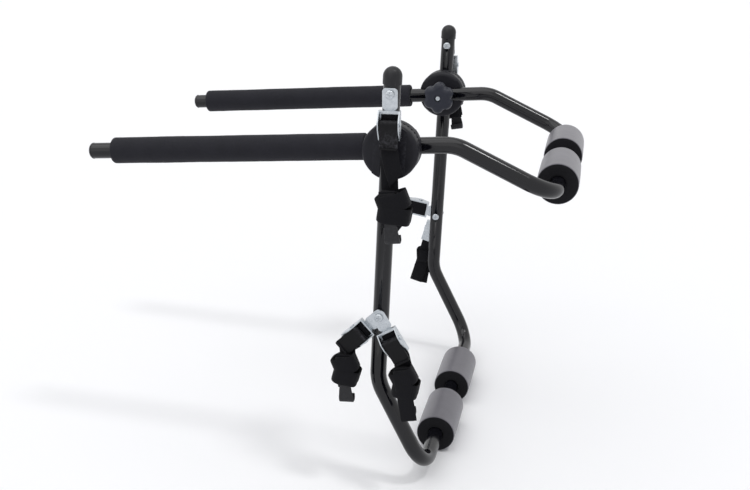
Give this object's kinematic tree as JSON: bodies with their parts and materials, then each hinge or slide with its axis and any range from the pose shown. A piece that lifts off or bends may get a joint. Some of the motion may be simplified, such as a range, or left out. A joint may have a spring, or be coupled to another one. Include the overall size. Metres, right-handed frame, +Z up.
{
  "type": "bicycle carrier",
  "caption": "Folding strap-on rear bicycle carrier: two bent tube frames on toothed hubs, foam-covered arms, roller pads, and cam-buckle straps.",
  "frame": {"origin": "middle of the lower cross bar, on the axis of its two foam pads", "axes": "+Z up along the uprights, +X towards the car, +Y towards the car's left side"},
  "size_m": [0.7652, 0.6191, 0.666],
  "materials": {
    "frame_paint": "gloss black powder coat on steel tube",
    "cap_vinyl": "black dipped vinyl",
    "sleeve_foam": "matt charcoal closed-cell foam",
    "pad_foam": "matt dark grey foam with cut ends",
    "hub_plastic": "satin moulded nylon",
    "knob_plastic": "satin moulded nylon",
    "zinc_plate": "bright zinc plate",
    "lever_coat": "black coated steel",
    "webbing": "black woven polyester webbing",
    "hook_vinyl": "black vinyl dip on steel"
  },
  "bodies": {
    "lower_frame": {"lower_frame_tube": "frame_paint", "upright_cap_left": "cap_vinyl", "upright_cap_right": "cap_vinyl", "hub_outer_half_left": "hub_plastic", "hub_outer_half_right": "hub_plastic", "pivot_bolt_left": "zinc_plate", "pivot_bolt_right": "zinc_plate", "strap_bolts": "zinc_plate", "strap_nuts": "zinc_plate"},
    "arm_frame": {"arm_frame_tube": "frame_paint", "arm_cap_left": "cap_vinyl", "arm_cap_right": "cap_vinyl", "arm_sleeve_left": "sleeve_foam", "arm_sleeve_right": "sleeve_foam", "hub_inner_half_left": "hub_plastic", "hub_inner_half_right": "hub_plastic", "knob_saddle_left": "hub_plastic", "knob_saddle_right": "hub_plastic"},
    "knob_left": {"knob_left": "knob_plastic", "knob_nut_left": "zinc_plate"},
    "knob_right": {"knob_right": "knob_plastic", "knob_nut_right": "zinc_plate"},
    "lower_pad_left": {"lower_pad_left": "pad_foam"},
    "lower_pad_right": {"lower_pad_right": "pad_foam"},
    "upper_pad_left": {"upper_pad_left": "pad_foam"},
    "upper_pad_right": {"upper_pad_right": "pad_foam"},
    "buckle_top_left": {"buckle_top_left": "zinc_plate", "cam_pin_top_left": "zinc_plate", "strap_top_left": "webbing", "hook_top_left": "hook_vinyl"},
    "cam_top_left": {"cam_top_left": "lever_coat"},
    "buckle_top_right": {"buckle_top_right": "zinc_plate", "cam_pin_top_right": "zinc_plate", "strap_top_right": "webbing", "hook_top_right": "hook_vinyl"},
    "cam_top_right": {"cam_top_right": "lever_coat"},
    "buckle_lower_left_inner": {"buckle_lower_left_inner": "zinc_plate", "cam_pin_lower_left_inner": "zinc_plate", "strap_lower_left_inner": "webbing", "hook_lower_left_inner": "hook_vinyl"},
    "cam_lower_left_inner": {"cam_lower_left_inner": "lever_coat"},
    "buckle_lower_left_outer": {"buckle_lower_left_outer": "zinc_plate", "cam_pin_lower_left_outer": "zinc_plate", "strap_lower_left_outer": "webbing", "hook_lower_left_outer": "hook_vinyl"},
    "cam_lower_left_outer": {"cam_lower_left_outer": "lever_coat"},
    "buckle_lower_right_inner": {"buckle_lower_right_inner": "zinc_plate", "cam_pin_lower_right_inner": "zinc_plate", "strap_lower_right_inner": "webbing", "hook_lower_right_inner": "hook_vinyl"},
    "cam_lower_right_inner": {"cam_lower_right_inner": "lever_coat"},
    "buckle_lower_right_outer": {"buckle_lower_right_outer": "zinc_plate", "cam_pin_lower_right_outer": "zinc_plate", "strap_lower_right_outer": "webbing", "hook_lower_right_outer": "hook_vinyl"},
    "cam_lower_right_outer": {"cam_lower_right_outer": "lever_coat"}
  },
  "joints": [
    {"name": "arm_fold", "type": "hinge", "parent": "lower_frame", "child": "arm_frame", "pos_m": [-0.081, 0, 0.509], "axis": [0, 1, 0], "range_deg": [-84, 96]},
    {"name": "knob_left_turn", "type": "hinge", "parent": "lower_frame", "child": "knob_left", "pos_m": [-0.081, 0.19, 0.509], "axis": [0, 1, 0], "continuous": true},
    {"name": "knob_right_turn", "type": "hinge", "parent": "lower_frame", "child": "knob_right", "pos_m": [-0.081, -0.19, 0.509], "axis": [0, -1, 0], "continuous": true},
    {"name": "lower_pad_left_roll", "type": "hinge", "parent": "lower_frame", "child": "lower_pad_left", "pos_m": [0, 0.091, 0], "axis": [0, 1, 0], "continuous": true},
    {"name": "lower_pad_right_roll", "type": "hinge", "parent": "lower_frame", "child": "lower_pad_right", "pos_m": [0, -0.091, 0], "axis": [0, 1, 0], "continuous": true},
    {"name": "upper_pad_left_roll", "type": "hinge", "parent": "arm_frame", "child": "upper_pad_left", "pos_m": [0.159, 0.091, 0.456], "axis": [0, 1, 0], "continuous": true},
    {"name": "upper_pad_right_roll", "type": "hinge", "parent": "arm_frame", "child": "upper_pad_right", "pos_m": [0.159, -0.091, 0.456], "axis": [0, 1, 0], "continuous": true},
    {"name": "buckle_top_left_swivel", "type": "hinge", "parent": "lower_frame", "child": "buckle_top_left", "pos_m": [-0.081, 0.2758, 0.596], "axis": [0, 1, 0], "range_deg": [-30, 38]},
    {"name": "cam_top_left_lever", "type": "hinge", "parent": "buckle_top_left", "child": "cam_top_left", "pos_m": [-0.07821, 0.2853, 0.5561], "axis": [0.9976, 0, 0.0698], "range_deg": [0, 60], "stiffness_Nm_per_rad": 0.15, "springref_deg": -28.65},
    {"name": "buckle_top_right_swivel", "type": "hinge", "parent": "lower_frame", "child": "buckle_top_right", "pos_m": [-0.081, -0.2758, 0.596], "axis": [0, 1, 0], "range_deg": [-32, 35]},
    {"name": "cam_top_right_lever", "type": "hinge", "parent": "buckle_top_right", "child": "cam_top_right", "pos_m": [-0.07891, -0.2853, 0.55605], "axis": [-0.9986, 0, -0.0523], "range_deg": [0, 60], "stiffness_Nm_per_rad": 0.15, "springref_deg": -28.65},
    {"name": "buckle_lower_left_inner_swivel", "type": "hinge", "parent": "lower_frame", "child": "buckle_lower_left_inner", "pos_m": [-0.081, 0.2758, 0.258], "axis": [0, 1, 0], "range_deg": [-50, 0]},
    {"name": "cam_lower_left_inner_lever", "type": "hinge", "parent": "buckle_lower_left_inner", "child": "cam_lower_left_inner", "pos_m": [-0.09068, 0.2853, 0.21919], "axis": [0.9703, 0, -0.2419], "range_deg": [0, 60], "stiffness_Nm_per_rad": 0.15, "springref_deg": -28.65},
    {"name": "buckle_lower_left_outer_swivel", "type": "hinge", "parent": "lower_frame", "child": "buckle_lower_left_outer", "pos_m": [-0.081, 0.2777, 0.258], "axis": [0, 1, 0], "range_deg": [0, 40]},
    {"name": "cam_lower_left_outer_lever", "type": "hinge", "parent": "buckle_lower_left_outer", "child": "cam_lower_left_outer", "pos_m": [-0.12061, 0.2872, 0.26357], "axis": [-0.1392, 0, -0.9903], "range_deg": [0, 60], "stiffness_Nm_per_rad": 0.15, "springref_deg": -28.65},
    {"name": "buckle_lower_right_inner_swivel", "type": "hinge", "parent": "lower_frame", "child": "buckle_lower_right_inner", "pos_m": [-0.081, -0.2758, 0.258], "axis": [0, 1, 0], "range_deg": [0, 45]},
    {"name": "cam_lower_right_inner_lever", "type": "hinge", "parent": "buckle_lower_right_inner", "child": "cam_lower_right_inner", "pos_m": [-0.10928, -0.2853, 0.22972], "axis": [-0.7071, 0, 0.7071], "range_deg": [0, 60], "stiffness_Nm_per_rad": 0.15, "springref_deg": -28.65},
    {"name": "buckle_lower_right_outer_swivel", "type": "hinge", "parent": "lower_frame", "child": "buckle_lower_right_outer", "pos_m": [-0.081, -0.2777, 0.258], "axis": [0, 1, 0], "range_deg": [-45, 0]},
    {"name": "cam_lower_right_outer_lever", "type": "hinge", "parent": "buckle_lower_right_outer", "child": "cam_lower_right_outer", "pos_m": [-0.05863, -0.2872, 0.22484], "axis": [-0.829, 0, -0.5592], "range_deg": [0, 60], "stiffness_Nm_per_rad": 0.15, "springref_deg": -28.65}
  ]
}
